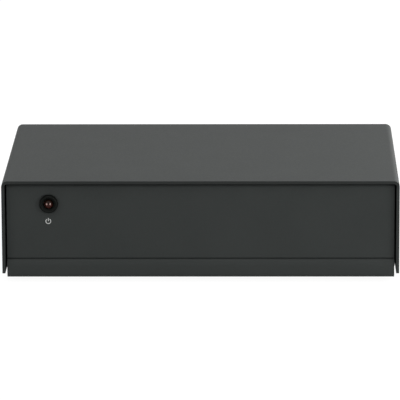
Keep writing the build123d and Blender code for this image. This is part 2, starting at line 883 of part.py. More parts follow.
# ---- Every node, under the name that its file gets ----
def make_all():
    nodes = {
        "top_cover": make_top_cover(),
        "chassis": make_chassis(),
        "front_panel": make_front_panel(),
        "cover_screws": make_cover_screws(),
        "rubber_feet": make_feet(),
        "lamp_holder": make_lamp_holder(),
        "lamp_lock_ring": make_lamp_lock_ring(),
        "indicator_lamp": make_lamp(),
        "lamp_leads": make_lamp_leads(),
        "circuit_board": make_circuit_board(),
        "board_standoffs": make_standoffs(),
        "board_screws": make_board_screws(),
        "input_jack_housing": make_jack_housing(input_pair_x),
        "output_jack_housing": make_jack_housing(output_pair_x),
        "jack_screws": make_jack_screws(),
        "power_jack_body": make_power_jack_body(),
        "power_jack_pin": make_power_jack_pin(),
        "power_jack_spring": make_power_jack_spring(),
        "ground_stud": make_ground_stud(),
        "ground_lug": make_ground_lug(),
        "ground_nut": make_ground_nut(),
        "ground_washer": make_ground_washer(),
        "ground_thumb_nut": make_ground_thumb_nut(),
        "op_amp": make_op_amp(),
        "op_amp_leads": make_op_amp_leads(),
        "film_capacitors": make_film_capacitors(),
        "electrolytic_capacitors": make_electrolytic_capacitors(),
        "resistors": make_resistors(),
        "resistor_leads": make_resistor_leads(),
        "supply_diode": make_diode(),
        "diode_leads": make_diode_leads(),
        "voltage_regulator": make_regulator(),
        "regulator_leads": make_regulator_leads(),
    }
    for name, x in jack_places().items():
        nodes[name + "_shell"] = make_jack_shell(x)
        nodes[name + "_insulator"] = make_jack_insulator(x)
        nodes[name + "_contact"] = make_jack_contact(x)
    return nodes


def solids_of(shape):
    """A node's solids, whether it was made as one shape or as a list of them."""
    pieces = shape if isinstance(shape, list) else [shape]
    return [solid for piece in pieces for solid in piece.solids()]


os.makedirs("parts", exist_ok=True)
for node_name, node_shape in make_all().items():
    solids = solids_of(node_shape)
    node = solids[0] if len(solids) == 1 else Compound(children=solids)
    export_step(node, f"parts/{node_name}.step")
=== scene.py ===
import json
import math

import bmesh
import bpy
from mathutils import Matrix, Vector


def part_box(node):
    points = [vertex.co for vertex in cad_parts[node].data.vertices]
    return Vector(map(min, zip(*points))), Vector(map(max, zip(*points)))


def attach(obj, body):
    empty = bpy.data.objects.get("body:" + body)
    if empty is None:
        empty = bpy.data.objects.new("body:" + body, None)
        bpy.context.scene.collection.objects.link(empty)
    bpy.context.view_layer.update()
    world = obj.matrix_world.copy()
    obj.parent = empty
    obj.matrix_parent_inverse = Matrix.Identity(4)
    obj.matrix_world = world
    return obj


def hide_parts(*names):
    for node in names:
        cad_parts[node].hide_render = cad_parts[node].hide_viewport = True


# The looks of a phono preamp: a charcoal sheet-steel case with a small red lamp in front, and
# phono jacks, a power jack and a ground terminal at the rear. Lengths are in millimetres until
# a mesh is made.

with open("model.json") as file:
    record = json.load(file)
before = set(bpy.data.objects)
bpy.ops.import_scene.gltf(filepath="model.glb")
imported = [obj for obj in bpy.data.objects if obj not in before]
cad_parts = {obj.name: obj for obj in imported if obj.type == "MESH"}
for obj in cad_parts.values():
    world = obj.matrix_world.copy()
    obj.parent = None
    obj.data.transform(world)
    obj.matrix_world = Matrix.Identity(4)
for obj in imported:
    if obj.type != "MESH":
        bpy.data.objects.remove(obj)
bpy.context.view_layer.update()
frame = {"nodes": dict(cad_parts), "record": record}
nodes = frame["nodes"]

MM = 0.001
TAU = 2 * math.pi
SLIVER = 0.002  # edges shorter than this are closed up after a cut

# Where the CAD's surfaces are, in mm
FRONT_EDGE_Y, REAR_EDGE_Y = -49.55, 39.35  # the cover's cut edges
FRONT_PANEL_Y = -47.75  # outer face of the front panel
REAR_PANEL_Y = 36.55  # inner face of the rear panel
LAMP_X, LAMP_Z = -50.9, 27.2  # the lamp's middle
BOARD_UNDERSIDE, LEAD_ENDS = 7.8, 6.3  # heights

JACKS = ("input_left", "input_right", "output_left", "output_right")
IDENTITY = Matrix.Identity(4)


# ---- Places ----
def look_along(axis, place=(0, 0, 0)):
    """A matrix whose own +Z points along axis, at place (mm)."""
    turns = {
        "+Y": Matrix.Rotation(math.radians(-90), 4, "X"),
        "-Y": Matrix.Rotation(math.radians(90), 4, "X"),
        "+X": Matrix.Rotation(math.radians(90), 4, "Y"),
        "-X": Matrix.Rotation(math.radians(-90), 4, "Y"),
        "+Z": IDENTITY,
    }
    return Matrix.Translation(Vector(place)) @ turns[axis]


def node_box(name):
    """A CAD node's lowest and highest corners, in mm."""
    low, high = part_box(name)
    return Vector(low) / MM, Vector(high) / MM


def solids_of(name):
    """The points of each solid of a CAD node, in mm, in order along X and then Y."""
    bm = bmesh.new()
    bm.from_mesh(nodes[name].data)
    bmesh.ops.remove_doubles(bm, verts=bm.verts, dist=1e-6)
    seen, groups = set(), []
    for first in bm.verts:
        if first.index in seen:
            continue
        seen.add(first.index)
        group, i = [first], 0
        while i < len(group):
            for edge in group[i].link_edges:
                other = edge.other_vert(group[i])
                if other.index not in seen:
                    seen.add(other.index)
                    group.append(other)
            i += 1
        groups.append([vert.co / MM for vert in group])
    bm.free()

    def middle_xy(points):
        return [round(sum(p[k] for p in points) / len(points), 1) for k in (0, 1)]

    return sorted(groups, key=middle_xy)


def corners(points):
    """The lowest and the highest corner of the box round some points."""
    low = Vector([min(p[k] for p in points) for k in range(3)])
    high = Vector([max(p[k] for p in points) for k in range(3)])
    return low, high


def boxes_of(name):
    return [corners(points) for points in solids_of(name)]


def on_middle(low, high, z):
    """A place above or below the middle of a box, at height z."""
    return Matrix.Translation(((low.x + high.x) / 2, (low.y + high.y) / 2, z))


# ---- Shapes ----
def raw_mesh(bm):
    """A bmesh in mm as a mesh in mm, to cut or to copy."""
    bmesh.ops.recalc_face_normals(bm, faces=bm.faces)
    mesh = bpy.data.meshes.new("raw")
    bm.to_mesh(mesh)
    bm.free()
    return mesh


def mesh_from(bm, name, sharp_deg=30.0):
    """Turns a bmesh in mm into a mesh in metres, smooth but for its sharp edges."""
    bmesh.ops.recalc_face_normals(bm, faces=bm.faces)
    bmesh.ops.scale(bm, vec=(MM, MM, MM), verts=bm.verts)
    mesh = bpy.data.meshes.new(name)
    bm.to_mesh(mesh)
    bm.free()
    mesh.shade_smooth()
    mesh.set_sharp_from_angle(angle=math.radians(sharp_deg))
    return mesh


def add_copy(bm, mesh, place):
    """Adds a mesh to a bmesh, moved to a place."""
    start = len(bm.verts)
    bm.from_mesh(mesh)
    bm.verts.ensure_lookup_table()
    bmesh.ops.transform(bm, matrix=place, verts=bm.verts[start:])


def copies(mesh, places):
    """A bmesh with the mesh once at each place."""
    bm = bmesh.new()
    for place in places:
        add_copy(bm, mesh, place)
    return bm


def cut_away(mesh, cutters):
    """The mesh less each cutter, all in mm, without the slivers that a cut leaves."""
    solid = bpy.data.objects.new("solid", mesh)
    tools = [bpy.data.objects.new("tool", cutter) for cutter in cutters]
    for item in (solid, *tools):
        bpy.context.scene.collection.objects.link(item)
    for tool in tools:
        cut = solid.modifiers.new("cut", "BOOLEAN")
        cut.operation, cut.solver, cut.object = "DIFFERENCE", "EXACT", tool
    cut_solid = solid.evaluated_get(bpy.context.evaluated_depsgraph_get())
    result = bpy.data.meshes.new_from_object(cut_solid)
    for item in (solid, *tools):
        bpy.data.objects.remove(item)
    bm = bmesh.new()
    bm.from_mesh(result)
    bmesh.ops.remove_doubles(bm, verts=bm.verts, dist=SLIVER)
    bmesh.ops.dissolve_degenerate(bm, edges=bm.edges, dist=SLIVER)
    bm.to_mesh(result)
    bm.free()
    return result


def add_piece(name, mesh, material, body="case", replaces=()):
    """Shows a mesh as a piece that moves with a body."""
    piece = bpy.data.objects.new(name, mesh)
    bpy.context.scene.collection.objects.link(piece)
    mesh.materials.clear()
    mesh.materials.append(material)
    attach(piece, body)
    if replaces:
        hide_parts(*replaces)


def rounded(outline, radii, steps=4):
    """An outline with rounded corners: radii maps a corner's number to its radius."""
    result = []
    count = len(outline)
    for i, ring in enumerate(outline):
        if not radii.get(i):
            result.append(ring)
            continue
        corner = Vector(ring[:2])
        before = Vector(outline[i - 1][:2]) - corner
        after = Vector(outline[(i + 1) % count][:2]) - corner
        half_angle = before.angle(after) / 2
        back = min(radii[i] / math.tan(half_angle), before.length * 0.49, after.length * 0.49)
        radius = back * math.tan(half_angle)
        inward = (before.normalized() + after.normalized()).normalized()
        centre = corner + inward * math.hypot(radius, back)
        first = corner + before.normalized() * back - centre
        last = corner + after.normalized() * back - centre
        turn = first.angle_signed(last)
        for k in range(steps + 1):
            point = centre + Matrix.Rotation(-turn * k / steps, 2) @ first
            result.append((point.x, point.y))
    return result


def arc(radius, degrees):
    """Points of a circle at angles from its first axis."""
    angles = [math.radians(angle) for angle in degrees]
    return [(radius * math.cos(angle), radius * math.sin(angle)) for angle in angles]


def thread(root, crest, pitch, start, end):
    """The rings of a right-handed thread between two heights, as radius, height and shape."""
    def flank(height, angle):
        phase = (height / pitch - angle / TAU) % 1
        return root + (crest - root) * min(1.0, 1.15 * abs(2 * phase - 1))

    rings_per_turn = 8
    count = max(2, round(abs(end - start) / pitch * rings_per_turn))
    return [(crest, start + (end - start) * k / count, flank) for k in range(count + 1)]


def add_lathe(bm, outline, place, segments):
    """Revolves an outline of (radius, height), or (radius, height, shape), about the place's own Z."""
    rings = []
    for radius, height, *shape in outline:
        if radius < 1e-6:
            rings.append([bm.verts.new(place @ Vector((0, 0, height)))])
            continue
        ring = []
        for k in range(segments):
            angle = TAU * k / segments
            r = shape[0](height, angle) if shape else radius
            point = Vector((r * math.cos(angle), r * math.sin(angle), height))
            ring.append(bm.verts.new(place @ point))
        rings.append(ring)
    pairs = list(zip(rings, rings[1:]))
    if len(rings[0]) > 1 or len(rings[-1]) > 1:
        pairs.append((rings[-1], rings[0]))
    for low, high in pairs:
        for k in range(segments):
            n = (k + 1) % segments
            face = [low[k], low[n]] if len(low) > 1 else [low[0]]
            face += [high[n], high[k]] if len(high) > 1 else [high[0]]
            bm.faces.new(face)


def lathed(outline, place, segments):
    """A bmesh with one lathed shape."""
    bm = bmesh.new()
    add_lathe(bm, outline, place, segments)
    return bm


def turned(outline, segments=64):
    """A lathed shape as a mesh in mm, to cut or to copy."""
    return raw_mesh(lathed(outline, IDENTITY, segments))


def add_block(bm, low, high, edge=0.0, steps=2, place=IDENTITY):
    """A box between two corners, its edges rounded."""
    low, high = Vector(low), Vector(high)
    matrix = place @ Matrix.Translation((low + high) / 2) @ Matrix.Diagonal((*(high - low), 1))
    verts = bmesh.ops.create_cube(bm, size=1, matrix=matrix)["verts"]
    if edge:
        bm.edges.index_update()
        edges = sorted({e for v in verts for e in v.link_edges}, key=lambda e: e.index)
        bmesh.ops.bevel(bm, geom=edges, offset=edge, segments=steps, profile=0.5, affect="EDGES")


def add_loft(bm, sections):
    """A solid through closed loops of points that have the same count."""
    loops = [[bm.verts.new(point) for point in section] for section in sections]
    for low, high in zip(loops, loops[1:]):
        for k in range(len(low)):
            n = (k + 1) % len(low)
            bm.faces.new((low[k], low[n], high[n], high[k]))
    bm.faces.new(list(reversed(loops[0])))
    bm.faces.new(loops[-1])


def rectangle(half_x, half_y, z):
    """The corners of a level rectangle on the axis."""
    return [(-half_x, -half_y, z), (half_x, -half_y, z), (half_x, half_y, z), (-half_x, half_y, z)]


def crossed_recess(top, depth):
    """Cutters for a cross recess that narrows with depth, below the height of a screw's top."""
    cutters = []
    for quarter in (0, 1):
        bm = bmesh.new()
        sections = [(1.62, 0.40, top + 0.3), (1.50, 0.36, top), (0.62, 0.22, top - depth)]
        add_loft(bm, [rectangle(*section) for section in sections])
        bmesh.ops.rotate(bm, verts=bm.verts, matrix=Matrix.Rotation(quarter * TAU / 4, 3, "Z"))
        cutters.append(raw_mesh(bm))
    cone = [(0, top + 0.3), (0.86, top + 0.3), (0.50, top - depth), (0, top - depth - 0.4)]
    cutters.append(turned(cone, 20))
    return cutters


def screw(head, shank, length, top, depth):
    """A screw with its own +Z outward: head is its outline from the top down to the shank."""
    pitch, root, tip = 0.5, shank * 0.78, -length
    outline = head + thread(root, shank - 0.02, pitch, head[-1][1] - 0.35, tip + 0.45)
    outline += [(root, tip + 0.3), (root * 0.7, tip), (0, tip)]
    return cut_away(turned(outline, 40), crossed_recess(top, depth))


def pan_screw(radius, height, shank, length):
    """A screw with a domed head."""
    crown = [
        (0, 1), (0.30, 0.995), (0.52, 0.96), (0.70, 0.88), (0.84, 0.74), (0.94, 0.54),
        (0.985, 0.34), (1, 0.16),
    ]
    head = [(radius * r, height * z) for r, z in crown]
    head += [(radius, 0.06), (radius - 0.08, 0), (shank, 0), (shank * 0.8, -0.05)]
    return screw(head, shank, length, height, height * 0.72)


# ---- Materials ----
class Nodes:
    """A short way to write the nodes of a world or a material."""

    def __init__(self, owner):
        owner.use_nodes = True
        self.owner, self.tree = owner, owner.node_tree
        self.tree.nodes.clear()

    def add(self, kind, inputs=None, **settings):
        node = self.tree.nodes.new(kind)
        for key, value in settings.items():
            setattr(node, key, value)
        for key, value in (inputs or {}).items():
            self.feed(node.inputs[key], value)
        return node

    def feed(self, socket, value):
        if isinstance(value, bpy.types.NodeSocket):
            self.tree.links.new(value, socket)
        else:
            socket.default_value = value

    def number(self, operation, first, second):
        return self.add("ShaderNodeMath", {0: first, 1: second}, operation=operation).outputs[0]

    def vector(self, operation, *values, output=0):
        inputs = dict(enumerate(values))
        return self.add("ShaderNodeVectorMath", inputs, operation=operation).outputs[output]

    def between(self, fac, low, high, start=0.3, end=0.7):
        """Maps fac from start..end to low..high."""
        inputs = {"Value": fac, "From Min": start, "From Max": end, "To Min": low, "To Max": high}
        return self.add("ShaderNodeMapRange", inputs).outputs[0]

    def ray_is_seen(self):
        """1 for rays that show the background: from the camera, off gloss or through glass."""
        rays = self.add("ShaderNodeLightPath").outputs
        seen = self.number("MAXIMUM", rays["Is Camera Ray"], rays["Is Glossy Ray"])
        return self.number("MAXIMUM", seen, rays["Is Transmission Ray"])


class Surface(Nodes):
    """The nodes of a material that follows the object's own coordinates."""

    def __init__(self, name):
        super().__init__(bpy.data.materials.new(name))
        self.coordinates = self.add("ShaderNodeTexCoord").outputs["Object"]

    def axes(self):
        """The place on the object along each axis, in metres."""
        return self.add("ShaderNodeSeparateXYZ", {0: self.coordinates}).outputs

    def noise(self, size_mm, detail=2.0, roughness=0.5):
        """Noise from 0 to 1 with features of about the size given."""
        inputs = {
            "Vector": self.coordinates, "Scale": 1 / (size_mm * MM), "Detail": detail,
            "Roughness": roughness,
        }
        return self.add("ShaderNodeTexNoise", inputs).outputs["Fac"]

    def blend(self, fac, first, second):
        """The colour first where fac is 0, second where it is 1."""
        # A Mix node's sockets share their names, so its colour sockets go by number.
        inputs = {0: fac, 6: first, 7: second}
        return self.add("ShaderNodeMix", inputs, data_type="RGBA").outputs[2]

    def bump(self, height, strength, distance_mm):
        inputs = {"Height": height, "Strength": strength, "Distance": distance_mm * MM}
        return self.add("ShaderNodeBump", inputs).outputs["Normal"]

    def finish(self, **inputs):
        """Closes the tree with a shader whose inputs are given with _ for each space."""
        inputs = {key.replace("_", " "): value for key, value in inputs.items()}
        shader = self.add("ShaderNodeBsdfPrincipled", inputs)
        self.add("ShaderNodeOutputMaterial", {"Surface": shader.outputs[0]})
        return self.owner


def grey(value):
    return (value, value, value, 1)


def charcoal_paint():
    """Satin powder coat: finely pebbled and faintly cloudy in tone, with painted shade on the front and
    rear cut edges, darkest along the top.
    """
    n = Surface("charcoal_paint")
    cloud = n.noise(18, detail=3)
    grain = n.noise(0.5, detail=2)
    darker, lighter = (0.0300, 0.0333, 0.0322, 1), (0.0335, 0.0370, 0.0358, 1)
    tone = n.blend(n.between(cloud, 0, 1), darker, lighter)
    tone = n.blend(n.between(grain, 0, 0.35), tone, (0.0385, 0.0425, 0.0410, 1))
    place = n.axes()
    y, z = place["Y"], place["Z"]
    # Painted shade: the colour is darkened on the cover's front and rear cut edges, fully along the top
    # and about half as much down the sides.
    front_edge = n.between(y, 1, 0, (FRONT_EDGE_Y + 0.05) * MM, (FRONT_EDGE_Y + 0.11) * MM)
    rear_edge = n.between(y, 0, 1, (REAR_EDGE_Y - 0.11) * MM, (REAR_EDGE_Y - 0.05) * MM)
    shade_most_at_the_top = n.between(z, 0.45, 1.0, 32.0 * MM, 33.5 * MM)
    cut_edge_shade = n.number("MAXIMUM", front_edge, rear_edge)
    cut_edge_shade = n.number("MULTIPLY", cut_edge_shade, shade_most_at_the_top)
    # The colour of the painted shade on the cut edges.
    tone = n.blend(cut_edge_shade, tone, (0.0215, 0.0238, 0.0230, 1))
    pebble = n.noise(0.35, detail=3, roughness=0.6)
    return n.finish(
        Base_Color=tone,
        Roughness=n.between(grain, 0.56, 0.64),
        Specular_IOR_Level=0.1,
        Normal=n.bump(pebble, 0.25, 0.03),
    )


def moulded_plastic(name, color, lighter, rough=(0.3, 0.42), bump=0.1, specular=0.5):
    """Plastic or rubber with a fine grain, faintly cloudy between two tones."""
    n = Surface(name)
    cloud = n.noise(6, detail=3)
    grain = n.noise(0.25, detail=2)
    tone = n.blend(n.between(cloud, 0, 1), (*color, 1), (*lighter, 1))
    return n.finish(
        Base_Color=tone,
        Roughness=n.between(grain, *rough),
        Specular_IOR_Level=specular,
        Normal=n.bump(grain, bump, 0.02),
    )


def plated_metal(name, color, darker, rough, grain_mm=0.15, bump=0.02):
    """Plated metal, faintly cloudy in its tone and its gloss."""
    n = Surface(name)
    cloud = n.noise(2.5, detail=3)
    grain = n.noise(grain_mm, detail=3)
    tone = n.blend(n.between(cloud, 0, 1), (*color, 1), (*darker, 1))
    return n.finish(
        Base_Color=tone,
        Metallic=1.0,
        Roughness=n.between(cloud, *rough),
        Normal=n.bump(grain, bump, 0.01),
    )


def lamp_lens():
    """An unlit red lens, dark above, with a painted glow that makes it redder below and two pale
    painted highlights where its leadframe's two posts would shine through.
    """
    n = Surface("clear_red_lens")
    swirl = n.noise(0.8, detail=2)
    deep = n.blend(n.between(swirl, 0, 1), (0.012, 0.005, 0.003, 1), (0.016, 0.006, 0.004, 1))
    # Painted light: the lens is coloured redder towards its bottom, standing for light from above that
    # gathers low in it.
    depth = n.between(n.axes()["Z"], 0, 1, (LAMP_Z + 0.5) * MM, (LAMP_Z - 1.0) * MM)
    tone = n.blend(depth, deep, (0.040, 0.007, 0.005, 1))
    # Painted highlights: two pale soft spots stand for the leadframe's two posts, seen lit through the
    # lens.
    highlight_half_width, highlight_half_height = 0.24 * MM, 0.34 * MM
    for side in (-0.58, 0.58):
        post = ((LAMP_X + side) * MM, 0, (LAMP_Z + 0.2) * MM)
        offset = n.vector("SUBTRACT", n.coordinates, post)
        scaled = n.vector("MULTIPLY", offset, (1 / highlight_half_width, 0, 1 / highlight_half_height))
        distance = n.vector("LENGTH", scaled, output="Value")
        tone = n.blend(n.between(distance, 1, 0, 0.6, 1.4), tone, (0.37, 0.235, 0.21, 1))
    return n.finish(
        Base_Color=tone,
        Roughness=n.between(swirl, 0.02, 0.04),
        Specular_IOR_Level=0.08,
    )


def board_mask():
    """Green solder mask over copper tracks, with a slightly raised track pattern."""
    n = Surface("board_mask")
    inputs = {
        "Vector": n.coordinates, "Scale": 160.0, "Mortar Size": 0.06, "Color1": grey(0),
        "Color2": grey(0), "Mortar": grey(1),
    }
    tracks = n.add("ShaderNodeTexBrick", inputs, offset=0.37).outputs["Fac"]
    tone = n.blend(tracks, (0.012, 0.095, 0.035, 1), (0.02, 0.16, 0.055, 1))
    grain = n.noise(0.4)
    return n.finish(
        Base_Color=tone,
        Roughness=n.between(grain, 0.28, 0.4),
        Normal=n.bump(tracks, 0.4, 0.03),
    )


def white_ink():
    """Screen-printed ink, slightly uneven."""
    n = Surface("white_ink")
    speck = n.noise(0.2, detail=2)
    tone = n.blend(n.between(speck, 0, 1), (0.50, 0.51, 0.50, 1), (0.56, 0.57, 0.56, 1))
    return n.finish(
        Base_Color=tone,
        Roughness=n.between(speck, 0.5, 0.6),
        Normal=n.bump(speck, 0.1, 0.01),
    )


ink = white_ink()
tin = plated_metal("tin_plate", (0.66, 0.66, 0.64), (0.58, 0.58, 0.57), (0.25, 0.4))
bright_aluminium = plated_metal("bright_aluminium", (0.75, 0.76, 0.77), (0.68, 0.69, 0.70), (0.3, 0.42))
finishes = {
    "case_paint": charcoal_paint(),
    "lamp_red": lamp_lens(),
    "board_green": board_mask(),
    "tinned_lead": tin,
    "nickel": plated_metal(
        "nickel_plate", (0.70, 0.67, 0.61), (0.62, 0.59, 0.54), (0.30, 0.38), grain_mm=0.6),
    "terminal_metal": plated_metal(
        "terminal_nickel", (0.68, 0.65, 0.58), (0.60, 0.57, 0.51), (0.18, 0.34)),
    "black_screw": plated_metal(
        "black_zinc", (0.055, 0.055, 0.057), (0.040, 0.040, 0.042), (0.28, 0.42), bump=0.15),
    "zinc_steel": plated_metal(
        "bright_zinc", (0.62, 0.63, 0.65), (0.54, 0.55, 0.57), (0.25, 0.4)),
    "holder_black": moulded_plastic(
        "holder_plastic", (0.0050, 0.0058, 0.0052), (0.0070, 0.0078, 0.0070), (0.4, 0.5),
        specular=0.05),
    "jack_black": moulded_plastic(
        "jack_plastic", (0.012, 0.012, 0.012), (0.018, 0.018, 0.018), (0.35, 0.5)),
    "foot_rubber": moulded_plastic(
        "foot_rubber", (0.014, 0.014, 0.014), (0.022, 0.022, 0.022), (0.65, 0.8), bump=0.3,
        specular=0.3),
    "insulator_white": moulded_plastic(
        "white_plastic", (0.80, 0.80, 0.76), (0.84, 0.84, 0.81), (0.25, 0.35)),
    "insulator_red": moulded_plastic(
        "red_plastic", (0.50, 0.020, 0.020), (0.56, 0.028, 0.026), (0.25, 0.35)),
    "chip_black": moulded_plastic(
        "chip_plastic", (0.012, 0.012, 0.013), (0.018, 0.018, 0.018), (0.5, 0.62)),
    "film_yellow": moulded_plastic(
        "film_plastic", (0.62, 0.33, 0.025), (0.68, 0.38, 0.035), (0.3, 0.42)),
    "can_sleeve": moulded_plastic(
        "sleeve_plastic", (0.012, 0.016, 0.035), (0.016, 0.021, 0.045), (0.2, 0.3)),
    "resistor_lacquer": moulded_plastic(
        "resistor_lacquer", (0.12, 0.28, 0.46), (0.15, 0.33, 0.52), (0.25, 0.35)),
}
band_paints = {
    "brown": moulded_plastic("band_brown", (0.09, 0.035, 0.015), (0.11, 0.045, 0.02)),
    "black": moulded_plastic("band_black", (0.008, 0.008, 0.008), (0.012, 0.012, 0.012)),
    "red": moulded_plastic("band_red", (0.38, 0.02, 0.015), (0.44, 0.028, 0.02)),
}
slot_of = {part["node"]: part["material_slot"] for part in frame["record"]["subparts"]}
for name, node in nodes.items():
    node.data.materials.clear()
    node.data.materials.append(finishes[slot_of[name]])


# ---- Softened edges on the sheet metal and mouldings ----
def soften(name, width_mm):
    """Rounds a CAD node's sharp edges by modifiers, so that they catch the light."""
    node = nodes[name]
    weld = node.modifiers.new("weld", "WELD")
    weld.merge_threshold = 0.001 * MM
    flat = node.modifiers.new("flat", "DECIMATE")
    flat.decimate_type = "DISSOLVE"
    flat.angle_limit = math.radians(0.5)
    bevel = node.modifiers.new("bevel", "BEVEL")
    bevel.width = width_mm * MM
    bevel.segments = 2
    bevel.limit_method = "ANGLE"
    bevel.angle_limit = math.radians(35)
    shade = node.modifiers.new("shade", "WEIGHTED_NORMAL")
    shade.keep_sharp = True


edge_widths = {
    "top_cover": 0.12, "chassis": 0.12, "front_panel": 0.12, "input_jack_housing": 0.15,
    "output_jack_housing": 0.15, "power_jack_body": 0.15, "film_capacitors": 0.25, "op_amp": 0.1,
    "voltage_regulator": 0.15,
}
for name, width in edge_widths.items():
    soften(name, width)


# ---- Pieces that stand for a CAD node ----
MOVING_BODIES = {"ground_washer": "terminal_washer", "ground_thumb_nut": "terminal_nut"}


def stand_in(name, bm, sharp_deg=30.0):
    """Puts a detailed mesh in a CAD node's place, with the node's body and finish."""
    mesh = mesh_from(bm, name + "_detailed", sharp_deg)
    body, slot = MOVING_BODIES.get(name, "case"), slot_of[name]
    add_piece(name + "_detailed", mesh, finishes[slot], body, [name])


# Screws: their heads' seats are where the CAD nodes' boxes say.
def screw_places(name, axis, head_height):
    """Where each screw of a node is seated, head_height below the outer end of its box. Screws
    along X point away from the middle of the case."""
    number = "XYZ".index(axis)
    places = []
    for low, high in boxes_of(name):
        seat = (low + high) / 2
        if axis == "X" and seat.x < 0:
            seat.x = low.x + head_height
            places.append(look_along("-X", seat))
        else:
            seat[number] = high[number] - head_height
            places.append(look_along("+" + axis, seat))
    return places


flat_head = [(0, -0.03), (2.62, -0.03), (2.72, -0.10), (2.70, -0.18), (1.48, -1.27), (1.30, -1.35)]
flat_screw = screw(flat_head, shank=1.5, length=6.0, top=-0.03, depth=1.25)
stand_in("cover_screws", copies(flat_screw, screw_places("cover_screws", "X", 0)))
jack_screw = pan_screw(radius=2.6, height=1.7, shank=1.45, length=8.0)
stand_in("jack_screws", copies(jack_screw, screw_places("jack_screws", "Y", 1.7)))
board_screw = pan_screw(radius=2.8, height=1.8, shank=1.5, length=5.0)
stand_in("board_screws", copies(board_screw, screw_places("board_screws", "Z", 1.8)))

# Rubber feet: moulded, with a rounded rim round a shallow dish.
foot = [(0, 0.35), (2.9, 0.35), (3.3, 0), (4.1, 0), (4.5, 1.8), (0, 1.8)]
foot = turned(rounded(foot, {1: 0.3, 2: 0.3, 3: 0.4, 4: 0.08}), 72)
foot_places = [on_middle(low, high, 0) for low, high in boxes_of("rubber_feet")]
stand_in("rubber_feet", copies(foot, foot_places))

# Indicator lamp in its snap-in holder.
lamp_place = look_along("-Y", (LAMP_X, FRONT_PANEL_Y, LAMP_Z))
holder = [
    (1.55, 0.5), (1.55, -3.2), (1.95, -3.2), (1.95, -4.2), (2.5, -4.2), (2.5, 0), (3.15, 0),
    (3.15, 0.77), (2.8, 1.4), (2.45, 1.4),
]
holder = rounded(holder, {0: 0.12, 4: 0.15, 6: 0.06, 7: 0.3, 8: 0.3, 9: 0.15}, 5)
stand_in("lamp_holder", lathed(holder, lamp_place, 96))

skirt = rounded([(0, -4.2), (1.9, -4.2), (1.9, -3.2), (1.5, -3.2)], {1: 0.08, 2: 0.12, 3: 0.06})
dome = [(radius, 0.25 + height) for radius, height in arc(1.5, range(0, 90, 6))]
stand_in("indicator_lamp", lathed(skirt + dome + [(0, 1.75)], lamp_place, 96))

# Its leadframe: a cup on one post and a bare second post.
cup = [
    (0, -0.62), (0.28, -0.62), (0.52, -0.30), (0.60, -0.30), (0.60, -0.95), (0.45, -1.10), (0, -1.10),
]
post_blocks = (
    ((-1.22, -0.22, -2.3), (0.30, 0.22, -1.05)),
    ((-1.36, -0.25, -4.1), (-0.95, 0.25, -2.25)),
    ((0.78, -0.22, -2.3), (1.22, 0.22, -0.75)),
    ((0.95, -0.25, -4.1), (1.36, 0.25, -2.25)),
)
bm = lathed(cup, lamp_place, 32)
for low, high in post_blocks:
    add_block(bm, low, high, 0.05, 1, lamp_place)
add_piece("lamp_leadframe", mesh_from(bm, "lamp_leadframe"), tin)


# The mark under the lamp: a plain power symbol in white ink, a broken ring with a bar.
def add_stroke(bm, points, width, place):
    """A printed line with round ends along points (x, z), a hair thick."""
    points = [Vector(point) for point in points]
    left, right, caps = [], [], []
    for i, point in enumerate(points):
        along = (points[min(i + 1, len(points) - 1)] - points[max(i - 1, 0)]).normalized()
        side = Vector((-along.y, along.x)) * width / 2
        left.append(point + side)
        right.append(point - side)
        if i in (0, len(points) - 1):
            outward = (-along if i == 0 else along) * width / 2
            angles = [k * math.pi / 8 for k in range(1, 8)]
            caps.append([point + side * math.cos(a) + outward * math.sin(a) for a in angles])
    start_cap, end_cap = caps
    loop = left + end_cap + right[::-1] + start_cap[::-1]
    add_loft(bm, [[place @ Vector((p.x, p.y, z)) for p in loop] for z in (-0.01, 0.02)])


mark_place = look_along("-Y", (-51.1, FRONT_PANEL_Y, 21.15))
ring = [(x, z) for z, x in arc(0.82, range(38, 323, 6))]
bm = bmesh.new()
add_stroke(bm, ring, 0.24, mark_place)
add_stroke(bm, [(0, 0.12), (0, 0.98)], 0.24, mark_place)
add_piece("power_mark", mesh_from(bm, "power_mark"), ink)

# Phono jacks: a rolled barrel with its solder tail, an insulator and a split contact sleeve.
BARREL_RADIUS = 4.15
shell_outline = rounded(
    [(3.6, -2.6), (3.9, -2.6), (3.9, 1.0), (BARREL_RADIUS, 1.15), (BARREL_RADIUS, 10.0), (3.6, 10.0)],
    {0: 0.08, 1: 0.08, 2: 0.1, 3: 0.12, 4: 0.27, 5: 0.27},
)
insulator_outline = rounded(
    [(2.186, -2.6), (3.58, -2.6), (3.58, 9.2), (2.65, 9.2), (2.186, 8.75)],
    {1: 0.15, 2: 0.2, 3: 0.15, 4: 0.1},
)
sleeve_outline = rounded(
    [(1.65, 1.3), (2.05, 1.3), (2.05, 8.2), (1.65, 8.2)],
    {0: 0.08, 1: 0.08, 2: 0.15, 3: 0.15},
)
slit = bmesh.new()
add_block(slit, (-0.17, -3, 3.4), (0.17, 3, 9))
split_sleeve = cut_away(turned(sleeve_outline, 64), [raw_mesh(slit)])
for side in JACKS:
    low, high = node_box(side + "_shell")
    x, jack_z = (low.x + high.x) / 2, high.z - BARREL_RADIUS
    place = look_along("+Y", (x, REAR_PANEL_Y, jack_z))
    bm = lathed(shell_outline, place, 96)
    add_block(bm, (x - 1, 33.95, LEAD_ENDS), (x + 1, 34.45, jack_z - 3.68), 0.1)
    stand_in(side + "_shell", bm)
    stand_in(side + "_insulator", lathed(insulator_outline, place, 96))
    bm = copies(split_sleeve, [place])
    add_block(bm, (x - 0.6, 30.65, jack_z - 2.25), (x + 0.6, 38.25, jack_z - 1.95), 0.05, 1)
    add_block(bm, (x - 0.6, 30.65, LEAD_ENDS), (x + 0.6, 31.05, jack_z - 1.98), 0.1)
    stand_in(side + "_contact", bm)

